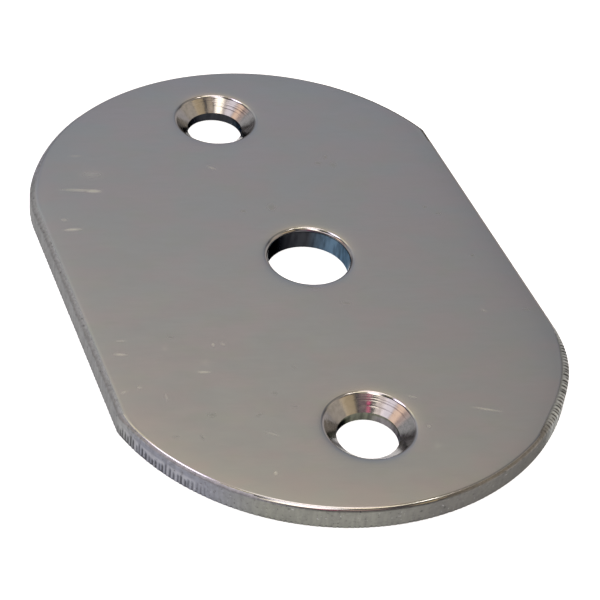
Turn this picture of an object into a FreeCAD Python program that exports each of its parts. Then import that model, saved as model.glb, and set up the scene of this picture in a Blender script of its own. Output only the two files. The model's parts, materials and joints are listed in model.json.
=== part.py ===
import FreeCAD, Part
import math
import os

# Flat stainless backing plate with two straight sides, two rounded ends and three holes.
# Origin at the centre of the underside, +Y along the length, +Z out of the countersunk face.
# All sizes are in millimetres and degrees.

# Outline
plate_length = 60.0
plate_width = 40.0
plate_thickness = 2.2
end_flattening = 1.0    # how much larger the end radius is than half the width
end_shift = 0.3         # how far the end arcs stand to +X of the middle of the width
crisp_corner_radius = 1.0     # the corners at +X +Y and -X -Y, nearly as cut
soft_corner_radius = 12.0     # the corners at -X +Y and +X -Y, ground smooth

# Edge finish
top_edge_round = 0.45   # polished rounding round the top face
edge_break = 0.1        # small bevel on every edge of the underside

# Hole pattern
pattern_shift = 0.75    # how far the pattern's middle stands towards +Y
pattern_turn = 1.3      # how far the line of screw holes is turned from the length, from +Y to +X
screw_spacing = 43.0    # centre to centre of the two countersunk holes
plain_hole_offset = 2.2    # how far the plain hole stands beside that line, on the +X side

# Countersunk screw holes
screw_hole_diameter = 5.3
countersink_diameter = 7.8    # at the top face, before its rim is rounded
countersink_angle = 90.0
countersink_rim_round = 0.5

# Plain hole
plain_hole_diameter = 7.4
plain_hole_rim_round = 0.45

# How far a cutter reaches past the faces it cuts, and how close counts as the same place
cutter_overrun = 1.0
same_place = 0.001


def end_arc_radius():
    return plate_width / 2 + end_flattening


def in_pattern(across, along):
    """A place in the hole pattern, from the pattern's middle."""
    turn = math.radians(pattern_turn)
    x = across * math.cos(turn) + along * math.sin(turn)
    y = along * math.cos(turn) - across * math.sin(turn)
    return FreeCAD.Vector(x, pattern_shift + y, 0)


def screw_hole_centres():
    return [in_pattern(0, side * screw_spacing / 2) for side in (1, -1)]


def plain_hole_centre():
    return in_pattern(plain_hole_offset, 0)


def corner_point(side):
    """Where the end arc of the +Y end meets the straight side at +X (1) or -X (-1)."""
    corner_x = side * plate_width / 2
    arc_centre_y = plate_length / 2 - end_arc_radius()
    corner_y = arc_centre_y + math.sqrt(end_arc_radius() ** 2 - (corner_x - end_shift) ** 2)
    return FreeCAD.Vector(corner_x, corner_y, 0)


def outline():
    """The closed outline: a straight side, an end arc, a straight side, an end arc."""
    right = corner_point(1)
    left = corner_point(-1)
    near_right = FreeCAD.Vector(right.x, -right.y, 0)
    near_left = FreeCAD.Vector(left.x, -left.y, 0)
    far_end = FreeCAD.Vector(end_shift, plate_length / 2, 0)
    near_end = FreeCAD.Vector(end_shift, -plate_length / 2, 0)
    edges = [
        Part.LineSegment(near_right, right).toShape(),
        Part.Arc(right, far_end, left).toShape(),
        Part.LineSegment(left, near_left).toShape(),
        Part.Arc(near_left, near_end, near_right).toShape(),
    ]
    return Part.Wire(edges)


def corner_edges(shape, side):
    """The two corner edges whose x and y have the same sign (side 1) or opposite signs (side -1)."""
    edges = []
    for edge in shape.Edges:
        middle = edge.BoundBox.Center
        if edge.BoundBox.ZLength > plate_thickness / 2 and side * middle.x * middle.y > 0:
            edges.append(edge)
    return edges


def edges_at_height(shape, height):
    """Edges that lie flat at one height."""
    flat = []
    for edge in shape.Edges:
        box = edge.BoundBox
        if max(abs(box.ZMin - height), abs(box.ZMax - height)) < same_place:
            flat.append(edge)
    return flat


def mouth_edges(shape, centre):
    """Round edges of one hole's mouth in the top face."""
    mouth = centre + FreeCAD.Vector(0, 0, plate_thickness)
    edges = []
    for edge in shape.Edges:
        if isinstance(edge.Curve, Part.Circle) and edge.Curve.Center.isEqual(mouth, same_place):
            edges.append(edge)
    return edges


def blank():
    """The plate with its edges finished and no holes."""
    body = Part.Face(outline()).extrude(FreeCAD.Vector(0, 0, plate_thickness))
    body = body.makeFillet(crisp_corner_radius, corner_edges(body, 1))
    body = body.makeFillet(soft_corner_radius, corner_edges(body, -1))
    return body.makeFillet(top_edge_round, edges_at_height(body, plate_thickness))


def straight_hole(centre, diameter):
    """Cutter for a hole through the whole thickness."""
    base = centre - FreeCAD.Vector(0, 0, cutter_overrun)
    return Part.makeCylinder(diameter / 2, plate_thickness + 2 * cutter_overrun, base)


def countersink(centre):
    """Cutter for a screw head's seat, as wide as the countersink at the top face."""
    slope = math.tan(math.radians(countersink_angle / 2))
    widest = countersink_diameter / 2 + cutter_overrun * slope
    height = widest / slope
    tip = centre + FreeCAD.Vector(0, 0, plate_thickness + cutter_overrun - height)
    return Part.makeCone(0, widest, height, tip)


def backing_plate():
    body = blank()
    body = body.cut(straight_hole(plain_hole_centre(), plain_hole_diameter))
    for centre in screw_hole_centres():
        body = body.cut(straight_hole(centre, screw_hole_diameter))
        body = body.cut(countersink(centre))
    body = body.makeFillet(plain_hole_rim_round, mouth_edges(body, plain_hole_centre()))
    for centre in screw_hole_centres():
        body = body.makeFillet(countersink_rim_round, mouth_edges(body, centre))
    return body.makeChamfer(edge_break, edges_at_height(body, 0))


os.makedirs("parts", exist_ok=True)
plate = backing_plate()
plate.exportStep("parts/backing_plate.step")
print("volume mm3", round(plate.Volume, 2), "valid", plate.isValid(), "solids", len(plate.Solids))
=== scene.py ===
import json
import math

import bmesh
import bpy
import numpy as np
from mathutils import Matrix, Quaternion, Vector
from mathutils.geometry import delaunay_2d_cdt


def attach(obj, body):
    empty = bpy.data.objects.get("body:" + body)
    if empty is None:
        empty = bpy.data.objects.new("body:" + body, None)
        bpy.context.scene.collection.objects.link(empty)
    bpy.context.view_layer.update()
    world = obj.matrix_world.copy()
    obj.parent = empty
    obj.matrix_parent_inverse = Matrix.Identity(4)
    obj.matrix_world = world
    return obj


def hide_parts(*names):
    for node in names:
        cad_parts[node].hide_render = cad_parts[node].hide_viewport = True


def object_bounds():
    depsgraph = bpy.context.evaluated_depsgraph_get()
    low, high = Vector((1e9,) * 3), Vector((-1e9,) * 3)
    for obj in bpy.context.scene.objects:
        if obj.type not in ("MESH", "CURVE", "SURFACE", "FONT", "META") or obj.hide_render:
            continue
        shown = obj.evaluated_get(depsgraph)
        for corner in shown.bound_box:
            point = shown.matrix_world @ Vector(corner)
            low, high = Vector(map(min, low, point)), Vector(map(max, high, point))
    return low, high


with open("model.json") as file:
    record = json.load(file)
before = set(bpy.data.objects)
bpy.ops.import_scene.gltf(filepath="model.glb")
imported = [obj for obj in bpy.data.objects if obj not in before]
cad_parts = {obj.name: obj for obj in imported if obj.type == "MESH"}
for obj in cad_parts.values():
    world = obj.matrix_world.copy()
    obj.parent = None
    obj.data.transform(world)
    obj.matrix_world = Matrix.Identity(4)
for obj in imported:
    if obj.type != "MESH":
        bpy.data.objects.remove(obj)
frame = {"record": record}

# A flat stainless plate with two straight sides, two rounded ends, two countersunk screw holes
# and one plain hole. Metres, +Y along the length, +Z out of the polished top face.

cad_low, cad_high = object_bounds()
mm = 0.001

# Plate
plate_width = cad_high.x - cad_low.x
plate_length = 2 * min(cad_high.y, -cad_low.y)
plate_thickness = cad_high.z - cad_low.z
end_radius = plate_width / 2 + 1.0 * mm
end_centre_y = plate_length / 2 - end_radius
end_shift = 0.3 * mm
crisp_corner_radius = 1.0 * mm
soft_corner_radius = 12.0 * mm
top_edge_round = 0.45 * mm
edge_break = 0.1 * mm

# Holes
countersink_radius = 3.9 * mm
countersink_rim_round = 0.5 * mm
plain_hole_rim_round = 0.45 * mm

# Polished top face: how far the buffing wheel wore the edge down, how far in from it that reaches,
# and how much wider it left the rounded edge on the -X side and round the +X -Y corner
rim_wear = 0.075 * mm
rim_wear_reach = 1.3 * mm
extra_round = 0.4 * mm
hole_wear = 0.03 * mm
hole_wear_reach = 0.3 * mm
face_waves = 0.0015 * mm
wave_count = 14
wave_lengths = (5, 16)    # shortest and longest, in millimetres

# Where the rounded edge is wider, as the start and end of soft steps: along the -X side it widens
# at the first step towards +Y and narrows at the second, and at the +X -Y corner it widens at one
# step towards -Y and one towards +X
wide_left = ((-16.2 * mm, -14.2 * mm), (16 * mm, 24 * mm))
wide_corner_y = (13 * mm, 18 * mm)
wide_corner_x = (12 * mm, 15.5 * mm)

# The polish ends at a share of the rounded edge's drop. At the front, between two soft steps
# towards +X, it ends further down.
polished_front = ((-12.7 * mm, -11.5 * mm), (1 * mm, 4 * mm))
usual_polish = 0.15
more_polish = 0.3

# Sheared wall
shear_mark_spacing = 0.38 * mm
shear_mark_width = 0.1 * mm
shear_mark_depth = 0.04 * mm
nibble_spacing = 0.45 * mm
nibble_depth = 0.05 * mm

# The upright marks are full only near the corners. That begins at a soft step from the middle of
# the length, reaches some degrees round the end arc and fades over a few more. The marks stand
# lower on the -X side than on the +X side, and fade at their tops.
marked_from = (13 * mm, 16 * mm)
marked_reach_left = 34
marked_reach_right = 44
marked_fade = 14
mark_top_left = 1.25 * mm
mark_top_right = 2.6 * mm
mark_top_fade = 0.35 * mm
faint_marks = 0.15
# How strongly the ridges between the marks take a painted highlight; they don't change the wall's
# shape.
ridge_highlight_strength = 0.4

# Turned countersinks: a groove's depth, its width as a share of the cone, the hole angle where the
# grooves are deepest and the one where the cone is painted darkest, as painted shade
groove_depth = 0.004 * mm
groove_width = 0.03
deepest_grooves = math.radians(50)
painted_shade_angle = math.radians(232)
groove_places = (0.06, 0.2, 0.34, 0.6)    # shares of the way down the cone

# Light table under the plate
floor_glow = 0.85

# What stands round the plate, as its reflections show it: azimuth, elevation, inner and outer reach
# in degrees, and colour.
surroundings = (
    (75, 36, 10, 42, (0.22, 0.23, 0.25)),       # pale grey beyond the far end
    (74, 30, 2, 20, (0.06, 0.075, 0.1)),
    (70, 58, 4, 22, (0.33, 0.27, 0.15)),        # warmer above it
    (99, 43, 5, 16, (0.2, 0.21, 0.2)),
    (122, 32, 8, 18, (0.18, 0.17, 0.19)),
    (122, 52, 5, 13, (0.45, 0.42, 0.36)),
    (103, 56, 4, 8, (0.7, 0.65, 0.4)),
    (137, -3, 8, 18, (0.15, 0.15, 0.15)),
    (63, 70, 5, 9, (2.2, 2.0, 2.0)),            # long light overhead
    (0, 90, 6, 8, (2.4, 2.2, 2.3)),
    (-113, 73, 7, 11, (2.2, 2.0, 2.0)),
    (-118, 60, 5, 11, (2.0, 1.8, 1.6)),
    (100, 66, 3, 6, (1.4, 1.2, 1.7)),           # second light beside it
    (128, 66, 6, 8, (3.6, 3.3, 3.8)),
    (154, 64, 4, 7, (2.0, 1.8, 2.3)),
    (129, 77, 2, 5, (0.9, 0.8, 0.35)),
    (0, 68, 1, 3, (9, 8.4, 7.8)),               # small bright spot
    (0, 78, 4, 8, (1.9, 1.75, 1.3)),
    (-5, 72, 5, 14, (0.5, 0.45, 0.32)),
    (-128, 57, 4, 10, (1.2, 1.1, 0.85)),        # warm white behind the camera
    (-141, 46, 5, 13, (0.85, 0.72, 0.68)),
    (-166, 43, 6, 15, (1.1, 1.0, 1.08)),        # pale patch on the left
    (167, 36, 5, 13, (1.15, 0.8, 0.6)),         # copper patch beside it
    (150, 27, 3, 11, (0.45, 0.32, 0.28)),
    (-47, 39, 12, 17, (0.45, 0.34, 0.19)),      # gold-brown patch on the right
    (-84, 57, 4, 10, (0.45, 0.37, 0.25)),
    (-88, 44, 3, 12, (0.15, 0.08, 0.09)),       # dark patch behind the camera
    (-110, 22, 10, 26, (0.03, 0.0, 0.03)),
    (-90, 11, 10, 24, (0.16, 0.16, 0.165)),
    (-105, 46, 2.5, 4.5, (1.0, 0.05, 0.24)),    # small red patch in it
    (-14, 24, 12, 28, (0.36, 0.31, 0.25)),      # grey on the right
    (2, 50, 9, 21, (0.24, 0.22, 0.18)),
    (28, 6, 12, 30, (0.38, 0.35, 0.34)),
    (132, 12, 10, 26, (0.26, 0.26, 0.26)),      # grey on the left
    (175, 4, 12, 32, (0.2, 0.2, 0.22)),
)

# Polished face
grain_heading = -13
face_roughness = 0.22

# Scratches and specks on the polished face: place, heading, length, width and strength.
# Millimetres and degrees.
pale_scratches = (
    (-15.1, 14.5, -16, 4.2, 0.44, 0.6),
    (-14.0, 14.1, -16, 1.7, 0.5, 1.0),
    (-17.3, 9.2, -9, 1.9, 0.4, 0.8),
    (-17.7, 10.7, -24, 0.8, 0.4, 0.5),
    (-13.5, 16.6, -13, 2.8, 1.5, 0.25),
    (-14.2, 19.6, -13, 1.4, 0.4, 0.3),
    (-17.3, -6.0, -14, 1.3, 0.25, 0.5),
    (-17.8, -7.6, -20, 1.3, 0.3, 0.8),
    (-11.7, -11.4, -15, 1.4, 0.3, 0.8),
    (-11.2, -10.3, -15, 1.2, 1.2, 0.25),
    (-9.9, -8.4, -14, 0.3, 0.35, 1.0),
    (-9.1, -8.5, -56, 0.7, 0.3, 0.5),
    (-14.0, -7.8, -14, 0.8, 1.0, 0.25),
    (-18.8, -12.0, 3, 0.8, 0.3, 0.5),
    (-17.4, -11.8, -41, 0.5, 0.4, 0.5),
    (-15.6, -13.5, -99, 1.2, 0.25, 0.4),
    (-8.6, -19.7, -36, 1.9, 0.3, 0.4),
    (-9.8, -23.9, -15, 0.35, 0.4, 1.0),
    (9.7, -21.6, -27, 3.0, 0.25, 0.7),
    (4.2, -18.6, -32, 1.2, 0.25, 0.5),
    (4.2, -22.2, -53, 0.4, 0.3, 0.5),
    (14.6, -10.1, -54, 0.8, 0.3, 0.4),
    (-2.3, 14.9, -43, 1.2, 0.3, 0.5),
    (4.0, -24.5, -15, 1.0, 1.1, 0.25),
)
dark_scratches = (
    (-1.5, 8.1, -14, 0.7, 0.35, 0.6),
    (1.2, 8.0, -14, 1.0, 1.1, 0.5),
    (8.8, 14.0, -13, 0.6, 0.7, 0.4),
    (7.8, 13.3, -13, 0.8, 0.45, 0.5),
    (9.1, 12.7, -13, 1.0, 1.1, 0.4),
    (15.2, 4.7, -14, 0.6, 0.5, 0.5),
    (16.1, 3.5, -14, 0.8, 0.3, 0.5),
    (16.7, -2.9, -14, 0.5, 0.55, 0.5),
    (18.4, -10.9, -14, 0.7, 0.25, 0.5),
    (-13.1, -6.6, -14, 0.7, 0.3, 0.5),
    (-6.8, -15.3, -15, 0.7, 0.3, 0.6),
    (-8.9, -17.4, 24, 1.1, 0.25, 0.5),
    (-12.6, -16.4, -15, 1.0, 0.6, 0.5),
    (-4.2, -12.8, -70, 1.0, 0.2, 0.4),
    (-16.2, -18.0, -7, 0.8, 0.2, 0.6),
    (-14.2, -18.6, -80, 0.9, 0.2, 0.6),
    (3.1, -6.2, -29, 1.1, 0.4, 0.5),
    (-5.7, -17.2, -25, 0.7, 0.2, 0.5),
    (0.8, -3.4, -29, 2.1, 0.25, 0.7),
)

# Mesh spacing
outline_spacing = 0.1 * mm
hole_count = 192
face_grid = 0.8 * mm
edge_band = 1.8 * mm
hole_band = 1.4 * mm

# How many rings of points each surface has
worn_rings = 8
edge_round_rings = 10
wall_rings = 12
mouth_rings = 9
plain_wall_rings = 6
rim_rings = 8
cone_rings = 48
land_rings = 3

POLISHED, SHEARED, TURNED, BORED, UNDERSIDE = range(5)


def bore(name):
    """Centre and radius of one hole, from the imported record."""
    mount = next(m for m in frame["record"]["mounts"] if m["name"] == name)
    return np.array(mount["pos_m"][:2]), mount["dims"]["r_mm"] * mm


hole_angles = np.arange(hole_count) / hole_count * 2 * math.pi
hole_outward = np.column_stack([np.cos(hole_angles), np.sin(hole_angles)])
plain_centre, plain_radius = bore("plain_hole")
screw_holes = [bore("screw_hole_plus_y"), bore("screw_hole_minus_y")]
countersink_rim = countersink_radius + countersink_rim_round * math.tan(math.pi / 8)
hole_rims = [(plain_centre, plain_radius + plain_hole_rim_round)]
hole_rims += [(centre, countersink_rim) for centre, radius in screw_holes]


def smooth(values, start, end):
    """0 before start, 1 after end, and a soft step between them."""
    share = np.clip((values - start) / (end - start), 0, 1)
    return share * share * (3 - 2 * share)


def within(values, rise, fall):
    """1 inside a stretch and 0 outside it, with a soft step at each end."""
    return smooth(values, *rise) * (1 - smooth(values, *fall))


def inset_of(x, y):
    """How far in from the outline a point of the top face lies, blended where side and end meet."""
    from_side = plate_width / 2 - np.abs(x)
    beyond = np.maximum(np.abs(y) - end_centre_y, 0)
    from_end = end_radius - np.hypot(x - end_shift, beyond)
    blend = 0.5 * mm
    return -blend * np.logaddexp(-from_side / blend, -from_end / blend)


def face_waviness(x, y):
    """The slow waves that rolling and polishing leave in sheet."""
    rng = np.random.default_rng(4)
    height = np.zeros_like(x)
    for i in range(wave_count):
        length = rng.uniform(*wave_lengths) * mm
        heading = rng.uniform(0, 2 * math.pi)
        phase = rng.uniform(0, 2 * math.pi)
        along = x * math.cos(heading) + y * math.sin(heading)
        height += np.sin(2 * math.pi * along / length + phase)
    return face_waves * height / math.sqrt(wave_count)


def top_height(x, y):
    """Height of the polished face: flat in the middle, worn down towards the edge and the holes."""
    inset = inset_of(x, y)
    past_edge = np.maximum(inset - top_edge_round, 0)
    height = plate_thickness - rim_wear * np.exp(-past_edge / rim_wear_reach)
    for centre, rim in hole_rims:
        away = np.hypot(x - centre[0], y - centre[1]) - rim
        height -= hole_wear * np.exp(-np.maximum(away, 0) / hole_wear_reach)
    room = 3 * face_waves
    height -= room - face_waviness(x, y)
    return np.minimum(height, plate_thickness)


def corner_blend(side, end):
    """Centre and radius of one corner's blend, and the outward angle where it meets the end arc."""
    radius = crisp_corner_radius if side == end else soft_corner_radius
    x = side * (plate_width / 2 - radius)
    rise = math.sqrt((end_radius - radius) ** 2 - (x - end_shift) ** 2)
    angle = math.atan2(end * rise, x - end_shift) % (2 * math.pi)
    return (x, end * (end_centre_y + rise)), radius, angle


def outline_arcs():
    """The outline's arcs, anticlockwise from the +X side: centre, radius, first and last angle."""
    arcs = []
    for end, side, start in ((1, 1, 0), (-1, -1, math.pi)):
        first_centre, first_radius, first = corner_blend(side, end)
        last_centre, last_radius, last = corner_blend(-side, end)
        arcs.append((first_centre, first_radius, start, first))
        arcs.append(((end_shift, end * end_centre_y), end_radius, first, last))
        arcs.append((last_centre, last_radius, last, start + math.pi))
    return arcs


def even_steps(length):
    """Places along a stretch of the outline, as shares of its length."""
    count = max(round(length / outline_spacing), 2)
    return ((np.arange(count) + 0.5) / count)[:, None]


def full_outline():
    """Points, outward directions and distance run, all the way round from the +X side's near end."""
    points = []
    outward = []
    arcs = outline_arcs()
    for number, (centre, radius, first, last) in enumerate(arcs):
        if number % 3 == 0:
            start = arcs[number - 1][0][1]
            side = plate_width / 2 * math.cos(first)
            share = even_steps(abs(centre[1] - start))
            points.append(np.hstack([0 * share + side, start + (centre[1] - start) * share]))
            outward.append(np.hstack([0 * share + math.cos(first), 0 * share]))
        angle = first + (last - first) * even_steps(radius * (last - first))
        direction = np.hstack([np.cos(angle), np.sin(angle)])
        points.append(np.array(centre) + radius * direction)
        outward.append(direction)
    points = np.concatenate(points)
    steps = np.hypot(*(points - np.roll(points, 1, 0)).T)
    return points, np.concatenate(outward), np.cumsum(steps)


def roll_over(radius, last_angle, steps):
    """How far a rounded edge has advanced and dropped at each step of its turn."""
    angles = np.linspace(0, last_angle, steps + 1)
    return [(radius * math.sin(a), radius * (1 - math.cos(a))) for a in angles]


class Skin:
    """The points and faces of the plate's surface."""

    def __init__(self):
        self.points = []
        self.faces = []
        self.finishes = []
        self.shades = []
        self.buffed = []

    def ring(self, places, heights, shades=0.0, buffed=0.0):
        """Adds a closed ring of points and returns their numbers.

        Shades steer the finish's colour, and buffed says how brightly the rim is polished there.
        """
        first = len(self.points)
        heights = np.broadcast_to(heights, len(places))
        self.points += [(x, y, z) for (x, y), z in zip(places, heights)]
        self.shades += list(np.broadcast_to(shades, len(places)))
        self.buffed += [buffed] * len(places)
        return list(range(first, len(self.points)))

    def band(self, one, other, finish):
        """Joins two rings of as many points."""
        count = len(one)
        finish = np.broadcast_to(finish, count)
        for i in range(count):
            after = (i + 1) % count
            self.faces.append((one[i], one[after], other[after], other[i]))
            self.finishes.append(int(finish[i]))

    def sheet(self, loops, loose, finish):
        """Fills the space inside the first loop and outside the others with triangles."""
        numbers = [number for loop in loops for number in loop] + loose
        places = [Vector(self.points[number][:2]) / mm for number in numbers]
        edges = []
        first = 0
        for loop in loops:
            count = len(loop)
            edges += [(first + i, first + (i + 1) % count) for i in range(count)]
            first += count
        made = delaunay_2d_cdt(places, edges, [], 1, 1e-7)
        vertices, triangles, sources = made[0], made[2], made[3]
        holes = [self.circle_of(loop) for loop in loops[1:]]
        for triangle in triangles:
            middle = sum((vertices[i] for i in triangle), Vector((0, 0))) / 3
            if any((middle - centre).length < radius for centre, radius in holes):
                continue
            self.faces.append(tuple(numbers[sources[i][0]] for i in triangle))
            self.finishes.append(finish)

    def circle_of(self, loop):
        """Centre and inner radius, in millimetres, of a round loop."""
        places = np.array([self.points[number][:2] for number in loop]) / mm
        centre = places.mean(0)
        radius = np.hypot(*(places - centre).T).mean() * math.cos(math.pi / len(loop))
        return Vector(centre), radius


def strokes_along(run, spacing, width, seed):
    """Uneven strokes along the outline: how deep each point lies in each stroke, and a top for each."""
    rng = np.random.default_rng(seed)
    total = run[-1]
    count = int(total / spacing)
    places = (np.arange(count) + rng.uniform(-0.18, 0.18, count)) / count * total
    widths = width * rng.uniform(0.8, 1.25, count)
    depths = rng.uniform(0.6, 1.0, count)
    gap = np.abs(run[:, None] - places[None, :])
    gap = np.minimum(gap, total - gap)
    return depths * np.exp(-((gap / widths) ** 2)), rng.uniform(-0.3, 0.3, count)


def shear_marks(points, outward, run):
    """A function that gives how deep the wall is marked at a height, and how full the marks are.

    Depths run from 1 in a groove to below 0 on the ridges between them.
    """
    depths, tops = strokes_along(run, shear_mark_spacing, shear_mark_width, 11)
    turned = np.degrees(np.arccos(np.clip(np.abs(outward[:, 0]), 0, 1)))
    near_corner = smooth(np.abs(points[:, 1]), *marked_from)
    on_left = outward[:, 0] < 0
    reach = np.where(on_left, marked_reach_left, marked_reach_right)
    fading = 1 - smooth(turned, reach, reach + marked_fade)
    marked = faint_marks + (1 - faint_marks) * near_corner * fading
    top = np.where(on_left, mark_top_left, mark_top_right)

    def depth_at(height):
        start = top[:, None] + tops[None, :] * mm
        below = 1 - smooth(height, start - mark_top_fade, start)
        depth = (depths * below).max(1)
        ridge = ridge_highlight_strength * below.max(1) * (1 - smooth(depth, 0, 0.3))
        return (depth - ridge) * marked

    return depth_at, marked


def stronger(marks, others):
    """At each point the stronger of two marks, so that ridges stay where the others are weak."""
    return np.where(others > np.abs(marks), others, marks)


def averaged(directions, reach):
    """Directions round the outline, each evened out with its neighbours."""
    total = sum(np.roll(directions, shift, 0) for shift in range(-reach, reach + 1))
    return total / np.hypot(*total.T)[:, None]


def edge_width(points):
    """How wide the rounded edge is at each point of the outline."""
    x, y = points.T
    left = (x < 0) * within(y, *wide_left)
    near_right = (x > 0) * smooth(-y, *wide_corner_y) * smooth(x, *wide_corner_x)
    return top_edge_round + extra_round * (left + near_right)


class Rim:
    """The plate's edge, ring by ring, from the worn edge of the top face down to the underside."""

    def __init__(self, skin):
        self.skin = skin
        self.points, self.outward, self.run = full_outline()
        self.marks_at, self.marked = shear_marks(self.points, self.outward, self.run)
        self.width = edge_width(self.points)
        self.rings = []
        self.finishes = []

    def add(self, places, heights, finish, shades=0.0, buffed=0.0):
        """Adds a ring. The finish is that of the faces above it."""
        self.rings.append(self.skin.ring(places, heights, shades, buffed))
        self.finishes.append(finish)

    def moved_in(self, inset):
        """The outline, moved in by one distance or by one for each point."""
        return self.points - self.outward * np.broadcast_to(inset, len(self.points))[:, None]

    def worn_face(self):
        """The edge of the top face. Returns how far it is worn down where the rounding begins."""
        even = averaged(self.outward, 12)
        for inset in np.geomspace(edge_band, top_edge_round, worn_rings):
            share = (inset - top_edge_round) / (edge_band - top_edge_round)
            inset = self.width + (edge_band - self.width) * share
            inward = self.outward + (even - self.outward) * share
            places = self.points - inward * inset[:, None]
            self.add(places, top_height(*places.T), POLISHED)
        return plate_thickness - top_height(*places.T)

    def rounded_edge(self, worn):
        """The rounding: polished at its top, and scored by the shear at the +X side's corners."""
        polish = usual_polish + more_polish * within(self.points[:, 0], *polished_front)
        scored = (self.outward[:, 0] > 0.3) * smooth(self.marked, 0.3, 0.6)
        for advance, drop in roll_over(top_edge_round, math.pi / 2, edge_round_rings)[1:]:
            share = drop / top_edge_round
            heights = plate_thickness - drop - worn * (1 - share)
            marks = self.marks_at(plate_thickness - drop) * scored * smooth(share, 0.0, 0.15)
            groove = shear_mark_depth * np.maximum(marks, 0)
            places = self.moved_in(self.width * (1 - advance / top_edge_round) + groove)
            sheared = (share > polish) | ((scored > 0.5) & (share > 0.04))
            finish = np.where(sheared, SHEARED, POLISHED)
            # Painted shade: a dark line along the top of the scored rounding.
            painted_dark_line = 0.5 * scored * (1 - smooth(share, 0.02, 0.1))
            self.add(places, heights, finish, stronger(marks, painted_dark_line), 1.0)

    def wall(self):
        """The sheared wall with the bevel below it, nibbled at its foot towards -X and -Y, with painted
        shade in the nibbles.
        """
        nibbles = strokes_along(self.run, nibble_spacing, shear_mark_width, 5)[0].max(1)
        nibbles *= smooth(-self.outward[:, 1] - self.outward[:, 0], 0.2, 0.9)
        top = plate_thickness - top_edge_round
        for height in np.linspace(top, edge_break, wall_rings + 1)[1:]:
            marks = self.marks_at(height)
            nibbled = nibbles * (1 - smooth(height, edge_break, 0.5 * mm))
            inset = shear_mark_depth * np.maximum(marks, 0) + nibble_depth * nibbled
            # The nibbles go into the shade attribute too, which paints shade in them.
            self.add(self.moved_in(inset), height, SHEARED, stronger(marks, nibbled))
        foot = self.moved_in(edge_break + nibble_depth * nibbles)
        self.add(foot, 0, SHEARED, stronger(marks, nibbles))

    def join(self):
        """Fills the space between the rings and returns the first and the last of them."""
        for i in range(1, len(self.rings)):
            self.skin.band(self.rings[i - 1], self.rings[i], self.finishes[i])
        return self.rings[0], self.rings[-1]


def plate_rim(skin):
    """The worn edge of the top face, the rounded edge, the sheared wall and the bevel below it."""
    rim = Rim(skin)
    worn = rim.worn_face()
    rim.rounded_edge(worn)
    rim.wall()
    return rim.join()


def hole_side(skin, centre, profile, rim):
    """One hole's surface, from the worn face round its rim down to the underside.

    Each row of the profile is a radius, a height, the finish above it, how much of the rim's wear it
    still shows, and a shade.
    """
    rings = []
    for away in np.geomspace(hole_band, 0.05 * mm, worn_rings):
        places = centre + hole_outward * (rim + away)
        rings.append(skin.ring(places, top_height(*places.T)))
    places = centre + hole_outward * rim
    worn = plate_thickness - top_height(*places.T)
    rings.append(skin.ring(places, plate_thickness - worn, 0, 1))
    finishes = [POLISHED] * worn_rings
    for radius, height, finish, share, shade in profile:
        places = centre + hole_outward * np.broadcast_to(radius, hole_count)[:, None]
        rings.append(skin.ring(places, height - worn * share, shade, 1))
        finishes.append(finish)
    for i in range(1, len(rings)):
        skin.band(rings[i - 1], rings[i], finishes[i - 1])
    return rings[0], rings[-1]


def plain_hole(skin):
    """The plain hole: rounded rim, straight wall, bevel below. The wall's painted reflection is bluer
    towards +X.
    """
    # How far towards +X each point of the wall lies, which steers its painted shade and reflection.
    bluer = hole_outward[:, 0]
    profile = []
    mouth = plain_radius + plain_hole_rim_round
    for advance, drop in roll_over(plain_hole_rim_round, math.pi / 2, mouth_rings)[1:]:
        share = 1 - drop / plain_hole_rim_round
        finish = POLISHED if drop < 0.7 * plain_hole_rim_round else BORED
        profile.append((mouth - advance, plate_thickness - drop, finish, share, bluer))
    wall_top = plate_thickness - plain_hole_rim_round
    for height in np.linspace(wall_top, edge_break, plain_wall_rings + 1)[1:]:
        profile.append((plain_radius, height, BORED, 0, bluer))
    profile.append((plain_radius + edge_break, 0, BORED, 0, bluer))
    return hole_side(skin, plain_centre, profile, mouth)


def groove_window():
    """How strongly the turning grooves show round a countersink."""
    away = np.abs((hole_angles - deepest_grooves + math.pi) % (2 * math.pi) - math.pi)
    return 1 - smooth(away, math.radians(25), math.radians(75))


def groove_cuts(seed):
    """How deep the turning grooves are round the cone, and how far down the cone each one lies."""
    rng = np.random.default_rng(seed)
    places = np.array(groove_places) + rng.uniform(-0.04, 0.04, len(groove_places))
    turns = hole_angles[:, None] * rng.integers(2, 6, len(groove_places))
    turns = turns + rng.uniform(0, 6, len(groove_places))
    return (0.6 + 0.4 * np.sin(turns)) * groove_window()[:, None], places


def cone_rows(cone_top, radius, seed):
    """The rows of a countersink's cone, down to the straight wall's radius."""
    strength, places = groove_cuts(seed)
    # Painted shade: each cone is darkened on one side, by hole angle.
    painted_shade_side = smooth(np.cos(hole_angles - painted_shade_angle), 0.5, 0.9)
    rows = []
    for i in range(1, cone_rings + 1):
        along = i / cone_rings
        cone_radius = cone_top + (radius - cone_top) * along
        cut = (strength * np.exp(-((along - places) / groove_width) ** 2)).max(1)
        cut *= math.sin(math.pi * along) ** 0.5 if i < cone_rings else 0
        deep = groove_depth * cut
        height = plate_thickness - (countersink_radius - cone_radius)
        shade = np.maximum(cut, painted_shade_side)
        rows.append((cone_radius + deep, height - deep, TURNED, 0.5 * (1 - along), shade))
    return rows


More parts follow.
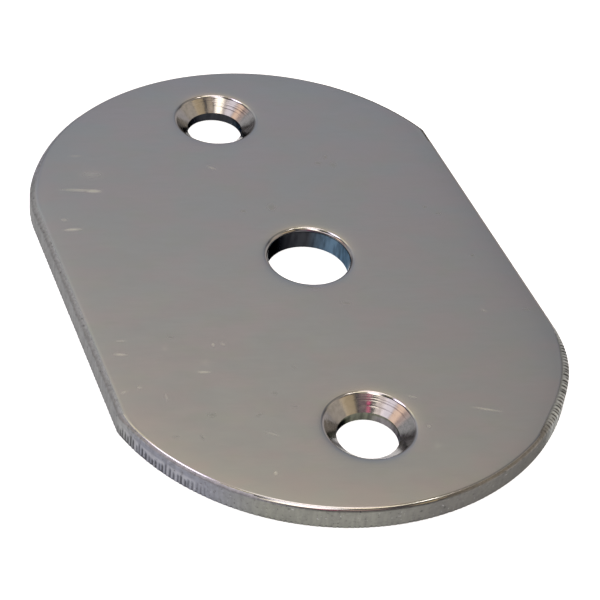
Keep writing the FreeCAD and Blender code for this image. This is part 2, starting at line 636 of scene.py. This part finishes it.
def screw_hole(skin, centre, radius, seed):
    """A screw hole: rounded rim, turned cone, short straight wall, bevel below."""
    profile = []
    rim_drop = countersink_rim_round * (1 - math.cos(math.pi / 4))
    for advance, drop in roll_over(countersink_rim_round, math.pi / 4, rim_rings)[1:]:
        share = 1 - 0.5 * drop / rim_drop
        profile.append((countersink_rim - advance, plate_thickness - drop, POLISHED, share, 0))
    cone_top = profile[-1][0]
    profile += cone_rows(cone_top, radius, seed)
    land_top = plate_thickness - (countersink_radius - radius)
    # The land gets a weaker painted shade and reflection by side than the plain hole's wall.
    weaker_painted_reflection_side = 0.45 * hole_outward[:, 0]
    for height in np.linspace(land_top, edge_break, land_rings + 1)[1:]:
        profile.append((radius, height, BORED, 0, weaker_painted_reflection_side))
    profile.append((radius + edge_break, 0, BORED, 0, weaker_painted_reflection_side))
    return hole_side(skin, centre, profile, countersink_rim)


def face_points():
    """A grid of points over the top face, clear of the edge and the holes."""
    xs = np.arange(-plate_width / 2, plate_width / 2, face_grid)
    ys = np.arange(-plate_length / 2, plate_length / 2, face_grid)
    x, y = (part.ravel() for part in np.meshgrid(xs, ys))
    clear = inset_of(x, y) > edge_band + face_grid / 2
    for centre, rim in hole_rims:
        clear &= np.hypot(x - centre[0], y - centre[1]) > rim + hole_band + face_grid / 2
    return np.column_stack([x[clear], y[clear]])


def plate_mesh():
    """The whole plate as one closed mesh."""
    skin = Skin()
    tops, bottoms = zip(
        plate_rim(skin),
        plain_hole(skin),
        screw_hole(skin, *screw_holes[0], 21),
        screw_hole(skin, *screw_holes[1], 22),
    )
    places = face_points()
    loose = skin.ring(places, top_height(*places.T))
    skin.sheet(tops, loose, POLISHED)
    skin.sheet(bottoms, [], UNDERSIDE)
    mesh = bpy.data.meshes.new("finished_plate")
    mesh.from_pydata(skin.points, [], skin.faces)
    mesh.polygons.foreach_set("material_index", skin.finishes)
    mesh.attributes.new("shade", "FLOAT", "POINT").data.foreach_set("value", skin.shades)
    mesh.attributes.new("buffed", "FLOAT", "POINT").data.foreach_set("value", skin.buffed)
    return mesh


def turn_faces_out(mesh):
    """Makes every face look outwards and shades the surface smooth between its sharp edges."""
    work = bmesh.new()
    work.from_mesh(mesh)
    bmesh.ops.recalc_face_normals(work, faces=work.faces)
    work.to_mesh(mesh)
    work.free()
    mesh.shade_smooth()
    mesh.set_sharp_from_angle(angle=math.radians(40))


class Metal:
    """One metal finish and the steps that build its node tree. Lengths inside are in millimetres."""

    def __init__(self, name):
        self.material = bpy.data.materials.new(name)
        self.material.use_nodes = True
        self.tree = self.material.node_tree
        self.shader = self.tree.nodes["Principled BSDF"]
        self.shader.inputs["Metallic"].default_value = 1
        self.place = self.scaled(self.add("ShaderNodeTexCoord").outputs["Object"], 1 / mm)

    def add(self, kind, **settings):
        node = self.tree.nodes.new(kind)
        for name, value in settings.items():
            setattr(node, name, value)
        return node

    def feed(self, socket, value):
        """Links a node's output to a socket, or sets the socket to a plain value."""
        if isinstance(value, bpy.types.NodeSocket):
            self.tree.links.new(value, socket)
        else:
            socket.default_value = value

    def scaled(self, vector, factor):
        node = self.add("ShaderNodeVectorMath", operation="SCALE")
        self.feed(node.inputs[0], vector)
        self.feed(node.inputs["Scale"], factor)
        return node.outputs["Vector"]

    def mapped(self, centre, heading, size):
        """Coordinates laid out from a centre, turned to a heading and counted in units of a size."""
        node = self.add("ShaderNodeMapping", vector_type="TEXTURE")
        self.feed(node.inputs["Vector"], self.place)
        self.feed(node.inputs["Location"], centre)
        self.feed(node.inputs["Rotation"], (0, 0, math.radians(heading)))
        self.feed(node.inputs["Scale"], size)
        return node.outputs["Vector"]

    def noise(self, size, detail=2.0, heading=0.0, shift=0.0):
        """Soft noise from 0 to 1 whose grain has the given size along, across and up."""
        node = self.add("ShaderNodeTexNoise")
        self.feed(node.inputs["Vector"], self.mapped((shift, shift, 0), heading, size))
        self.feed(node.inputs["Scale"], 1.0)
        self.feed(node.inputs["Detail"], detail)
        return node.outputs["Fac"]

    def attribute(self, name):
        return self.add("ShaderNodeAttribute", attribute_name=name).outputs["Fac"]

    def along(self, axis, start, end):
        """0 before the start and 1 past the end of a stretch of one axis, in millimetres."""
        parts = self.add("ShaderNodeSeparateXYZ")
        self.feed(parts.inputs[0], self.place)
        return self.spread(parts.outputs[axis], start, end)

    def scratches(self, rows):
        """Soft long spots on the top face, one for each row, 1 in the middle of a strong one."""
        total = 0.0
        for x, y, heading, length, width, strength in rows:
            spot = self.add("ShaderNodeTexGradient", gradient_type="SPHERICAL")
            size = (0.6 * length, 0.7 * width, 1.0)
            self.feed(spot.inputs["Vector"], self.mapped((x, y, plate_thickness / mm), heading, size))
            seen = self.combine("MULTIPLY", spot.outputs["Fac"], strength)
            total = self.combine("MAXIMUM", seen, total)
        return total

    def combine(self, operation, one, other):
        """Plain arithmetic on two numbers."""
        node = self.add("ShaderNodeMath", operation=operation)
        self.feed(node.inputs[0], one)
        self.feed(node.inputs[1], other)
        return node.outputs["Value"]

    def spread(self, value, start, end, low=0.0, high=1.0):
        """Maps a value from one range to another, with soft ends."""
        node = self.add("ShaderNodeMapRange", interpolation_type="SMOOTHSTEP")
        self.feed(node.inputs["Value"], value)
        self.feed(node.inputs["From Min"], start)
        self.feed(node.inputs["From Max"], end)
        self.feed(node.inputs["To Min"], low)
        self.feed(node.inputs["To Max"], high)
        return node.outputs["Result"]

    def blend(self, share, one, other):
        """A colour between two others."""
        node = self.add("ShaderNodeMix", data_type="RGBA")
        self.feed(node.inputs["Factor"], share)
        for socket, colour in ((node.inputs[6], one), (node.inputs[7], other)):
            self.feed(socket, colour if isinstance(colour, bpy.types.NodeSocket) else (*colour, 1))
        return node.outputs[2]

    def tint_edges(self, share, one, other):
        """Dims the metal towards grazing light by a tint between two others."""
        self.feed(self.shader.inputs["Specular Tint"], self.blend(share, one, other))

    def finish(self, colour, roughness, height, depth):
        """Sets the colour, the roughness and a bump whose full height is a depth in millimetres."""
        self.feed(self.shader.inputs["Base Color"], colour)
        self.feed(self.shader.inputs["Roughness"], roughness)
        bump = self.add("ShaderNodeBump")
        self.feed(bump.inputs["Height"], height)
        self.feed(bump.inputs["Distance"], depth * mm)
        self.feed(self.shader.inputs["Normal"], bump.outputs["Normal"])
        return self.material


def polished_face():
    """Satin polished sheet, faintly clouded, with a fine grain across the width and some scratches."""
    metal = Metal("polished_face")
    cloud = metal.noise((4, 2.5, 4), 3, grain_heading, shift=3)
    warm = metal.noise((5, 3, 7), 2, grain_heading, shift=11)
    green = metal.noise((3, 2, 5), 2, grain_heading, shift=23)
    grain = metal.noise((3, 0.12, 1), 3, grain_heading)
    colour = metal.blend(metal.spread(warm, 0.35, 0.65), (0.555, 0.555, 0.545), (0.585, 0.545, 0.54))
    colour = metal.blend(metal.spread(green, 0.5, 0.75, 0.0, 0.5), colour, (0.55, 0.56, 0.515))
    colour = metal.blend(metal.spread(cloud, 0.25, 0.75, 0.0, 0.15), colour, (0.4, 0.4, 0.39))
    colour = metal.blend(metal.spread(grain, 0.3, 0.7, 0.0, 0.1), colour, (0.42, 0.42, 0.41))
    pale = metal.scratches(pale_scratches)
    dark = metal.scratches(dark_scratches)
    colour = metal.blend(metal.spread(pale, 0.0, 0.8, 0.0, 0.8), colour, (0.85, 0.82, 0.72))
    colour = metal.blend(metal.spread(dark, 0.0, 0.8, 0.0, 0.6), colour, (0.32, 0.33, 0.29))
    clouded = metal.spread(cloud, 0.3, 0.7, face_roughness - 0.02, face_roughness + 0.03)
    scored = metal.combine("MULTIPLY", metal.combine("MAXIMUM", pale, dark), 0.2)
    dull = metal.combine("ADD", clouded, scored)
    buffed = metal.spread(metal.attribute("buffed"), 0.0, 1.0, 1.0, 0.5)
    return metal.finish(colour, metal.combine("MULTIPLY", dull, buffed), grain, 0.0006)


def wall_colour(metal, right):
    """The sheared wall's colour before its marks, with painted light and shade from place to place:
    lighter on the rounding, bluer near the -X side, darker towards +X, and a painted highlight on the
    rounding at the +X -Y corner.
    """
    rounding = metal.along("Z", 1.8, 2.0)
    left_rounding = metal.combine("MULTIPLY", rounding, metal.along("X", -7, -12))
    right_rounding = metal.combine("MULTIPLY", rounding, metal.along("X", 0, 6))
    colour = metal.blend(metal.along("X", -19.9, -18.8), (0.31, 0.318, 0.32), (0.235, 0.245, 0.285))
    colour = metal.blend(metal.along("X", -16, -11), colour, (0.235, 0.24, 0.213))
    # Painted light on the rounding of the -X side.
    painted_light_left = metal.blend(metal.along("X", -19.2, -18.2), (0.5, 0.515, 0.51), (0.55, 0.56, 0.6))
    colour = metal.blend(left_rounding, colour, painted_light_left)
    colour = metal.blend(metal.along("X", -5.5, 3), colour, (0.17, 0.167, 0.155))
    colour = metal.blend(right_rounding, colour, (0.36, 0.34, 0.3))
    # Painted highlight on the rounding at the +X -Y corner.
    bright = metal.combine("MULTIPLY", right, metal.spread(rounding, 0.0, 1.0, 0.6, 1.0))
    return metal.blend(bright, colour, (0.75, 0.78, 0.75))


def sheared_wall():
    """The punched wall: upright marks with pits. The grooves are darker, from dirt and painted shade,
    and the ridges carry a painted highlight.

    Both the wall and its marks are painted lightest at the +X -Y corner, as a painted highlight.
    """
    metal = Metal("sheared_wall")
    marks = metal.attribute("shade")
    strokes = metal.noise((0.3, 0.3, 2.5), 3)
    pits = metal.noise((0.3, 0.3, 0.25), 4, shift=5)
    specks = metal.noise((0.25, 0.25, 0.2), 3, shift=17)
    # The +X -Y corner, where the wall and its ridges get a painted highlight.
    right = metal.combine("MULTIPLY", metal.along("X", 13, 15), metal.along("Y", -12, -15))
    colour = wall_colour(metal, right)
    colour = metal.blend(metal.spread(strokes, 0.35, 0.65, 0.0, 0.25), colour, (0.1, 0.1, 0.105))
    darkest = metal.spread(right, 0.0, 1.0, 0.7, 0.92)
    lightest = metal.blend(right, (0.62, 0.63, 0.66), (0.97, 1.0, 0.97))
    ridge_share = metal.spread(right, 0.0, 1.0, 0.25, 0.7)
    # Dirt and painted shade in the grooves, then a painted highlight on the ridges.
    colour = metal.blend(metal.spread(marks, 0.1, 0.7, 0.0, darkest), colour, (0.05, 0.05, 0.052))
    colour = metal.blend(metal.spread(marks, -0.02, -0.4, 0.0, ridge_share), colour, lightest)
    colour = metal.blend(metal.spread(pits, 0.62, 0.7, 0.0, 0.6), colour, (0.07, 0.07, 0.07))
    colour = metal.blend(metal.spread(specks, 0.66, 0.74, 0.0, 0.7), colour, (0.5, 0.5, 0.52))
    roughness = metal.spread(pits, 0.3, 0.7, 0.42, 0.55)
    # Painted shade: the reflection is dimmed in the grooves.
    metal.tint_edges(metal.spread(marks, 0.1, 0.7), (0.45, 0.45, 0.45), (0.1, 0.1, 0.1))
    height = metal.combine("SUBTRACT", strokes, metal.spread(pits, 0.6, 0.75, 0.0, 0.5))
    return metal.finish(colour, roughness, height, 0.008)


def turned_cone():
    """Bright turned metal, greyer in its grooves, with painted shade that darkens one side of the
    cone and dims its reflection there.
    """
    metal = Metal("turned_cone")
    grooves = metal.attribute("shade")
    cloud = metal.noise((0.5, 0.5, 0.5), 3)
    colour = metal.blend(metal.spread(cloud, 0.3, 0.7), (0.54, 0.53, 0.52), (0.63, 0.62, 0.61))
    # The shade attribute holds the grooves and the painted shade side; both darken the colour and the
    # reflection.
    colour = metal.blend(metal.spread(grooves, 0.1, 0.9, 0.0, 0.6), colour, (0.25, 0.22, 0.23))
    roughness = metal.spread(cloud, 0.3, 0.7, 0.12, 0.22)
    metal.tint_edges(metal.spread(grooves, 0.1, 0.9), (0.5, 0.5, 0.5), (0.15, 0.15, 0.15))
    return metal.finish(colour, roughness, cloud, 0.006)


def bored_wall():
    """The straight walls of the holes, streaked by the drill. Painted shade keeps them near black
    towards -X, and a painted reflection makes them lighter and bluer towards +X.

    The wall of the countersunk hole near the -Y end gets the lightest painted reflection, greenish
    grey.
    """
    metal = Metal("bored_wall")
    right = metal.attribute("shade")
    streaks = metal.noise((0.4, 0.4, 2.0), 3)
    # Painted shade towards -X and a painted blue reflection towards +X, steered by the shade attribute.
    colour = metal.blend(metal.spread(right, -0.7, 0.2), (0.003, 0.003, 0.003), (0.03, 0.032, 0.037))
    colour = metal.blend(metal.spread(right, 0.3, 0.85), colour, (0.085, 0.14, 0.2))
    # Painted reflection on the -Y countersunk hole's wall: greenish grey, lighter towards +X.
    near = metal.blend(metal.spread(right, -0.25, -0.05), (0.01, 0.01, 0.01), (0.13, 0.135, 0.105))
    near = metal.blend(metal.spread(right, 0.15, 0.35), near, (0.2, 0.19, 0.195))
    colour = metal.blend(metal.along("Y", -10, -14), colour, near)
    colour = metal.blend(metal.spread(streaks, 0.4, 0.7, 0.0, 0.5), colour, (0.01, 0.01, 0.013))
    roughness = metal.spread(streaks, 0.3, 0.7, 0.28, 0.4)
    # Painted reflection: the reflection turns bluer and brighter towards +X.
    metal.tint_edges(metal.spread(right, 0.6, 0.95), (0.15, 0.16, 0.18), (0.45, 0.5, 0.55))
    return metal.finish(colour, roughness, streaks, 0.004)


def mill_underside():
    """The back of the sheet, as rolled."""
    metal = Metal("mill_underside")
    grain = metal.noise((0.15, 5, 1), 3)
    cloud = metal.noise((6, 6, 6), 3)
    colour = metal.blend(metal.spread(cloud, 0.3, 0.7), (0.46, 0.46, 0.45), (0.54, 0.535, 0.52))
    roughness = metal.spread(grain, 0.3, 0.7, 0.3, 0.4)
    return metal.finish(colour, roughness, grain, 0.002)


def glow(tree, before, towards, inner, outer, colour):
    """Adds a soft round patch of light in one direction of the sky. Angles are in degrees."""
    azimuth, elevation = (math.radians(angle) for angle in towards)
    direction = Vector((math.cos(azimuth), math.sin(azimuth), 0)) * math.cos(elevation)
    direction.z = math.sin(elevation)
    coordinates = tree.nodes.new("ShaderNodeTexCoord")
    across = tree.nodes.new("ShaderNodeVectorMath")
    across.operation = "DOT_PRODUCT"
    across.inputs[1].default_value = direction
    tree.links.new(coordinates.outputs["Generated"], across.inputs[0])
    fade = tree.nodes.new("ShaderNodeMapRange")
    fade.interpolation_type = "SMOOTHSTEP"
    fade.inputs["From Min"].default_value = math.cos(math.radians(outer))
    fade.inputs["From Max"].default_value = math.cos(math.radians(inner))
    tree.links.new(across.outputs["Value"], fade.inputs["Value"])
    scale = tree.nodes.new("ShaderNodeVectorMath")
    scale.operation = "SCALE"
    scale.inputs[0].default_value = colour
    tree.links.new(fade.outputs["Result"], scale.inputs["Scale"])
    total = tree.nodes.new("ShaderNodeVectorMath")
    total.operation = "ADD"
    tree.links.new(before, total.inputs[0])
    tree.links.new(scale.outputs["Vector"], total.inputs[1])
    return total.outputs["Vector"]


def studio_sky():
    """A dim sky with soft patches of light round the plate."""
    world = bpy.data.worlds.new("studio")
    bpy.context.scene.world = world
    world.use_nodes = True
    tree = world.node_tree
    base = tree.nodes.new("ShaderNodeVectorMath")
    base.operation = "ADD"
    base.inputs[0].default_value = (0.09, 0.085, 0.09)
    light = base.outputs["Vector"]
    for azimuth, elevation, inner, outer, colour in surroundings:
        light = glow(tree, light, (azimuth, elevation), inner, outer, colour)
    tree.links.new(light, tree.nodes["Background"].inputs["Color"])


def camera():
    """The photograph's viewpoint."""
    place = Vector((-55.646, -123.363, 115.230)) * mm
    aim = Vector((-0.727, -4.825, 2.2)) * mm
    roll = math.radians(7.048)
    data = bpy.data.cameras.new("camera")
    data.lens = 118.905
    data.sensor_width = 36
    data.clip_start = 1 * mm
    made = bpy.data.objects.new("camera", data)
    made.location = place
    made.rotation_mode = "QUATERNION"
    upright = (aim - place).to_track_quat("-Z", "Y")
    made.rotation_quaternion = upright @ Quaternion((0, 0, 1), roll)
    bpy.context.scene.collection.objects.link(made)
    bpy.context.scene.camera = made


def floor():
    """A wide pale floor just under the plate."""
    reach = 3.0
    height = -0.01 * mm
    corners = [(x * reach, y * reach, height) for x, y in ((-1, -1), (1, -1), (1, 1), (-1, 1))]
    mesh = bpy.data.meshes.new("floor")
    mesh.from_pydata(corners, [], [(0, 1, 2, 3)])
    material = bpy.data.materials.new("floor_paint")
    material.use_nodes = True
    shader = material.node_tree.nodes["Principled BSDF"]
    shader.inputs["Base Color"].default_value = (0.9, 0.9, 0.9, 1)
    shader.inputs["Roughness"].default_value = 0.9
    shader.inputs["Specular IOR Level"].default_value = 0.0
    shader.inputs["Emission Color"].default_value = (1, 1, 1, 1)
    shader.inputs["Emission Strength"].default_value = floor_glow
    mesh.materials.append(material)
    made = bpy.data.objects.new("floor", mesh)
    bpy.context.scene.collection.objects.link(made)


def plate():
    """The finished plate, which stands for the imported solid."""
    mesh = plate_mesh()
    turn_faces_out(mesh)
    for material in (polished_face, sheared_wall, turned_cone, bored_wall, mill_underside):
        mesh.materials.append(material())
    made = bpy.data.objects.new("finished_plate", mesh)
    bpy.context.scene.collection.objects.link(made)
    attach(made, "root")
    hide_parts("backing_plate")


plate()
floor()
studio_sky()
camera()
bpy.context.scene.view_settings.view_transform = "Standard"
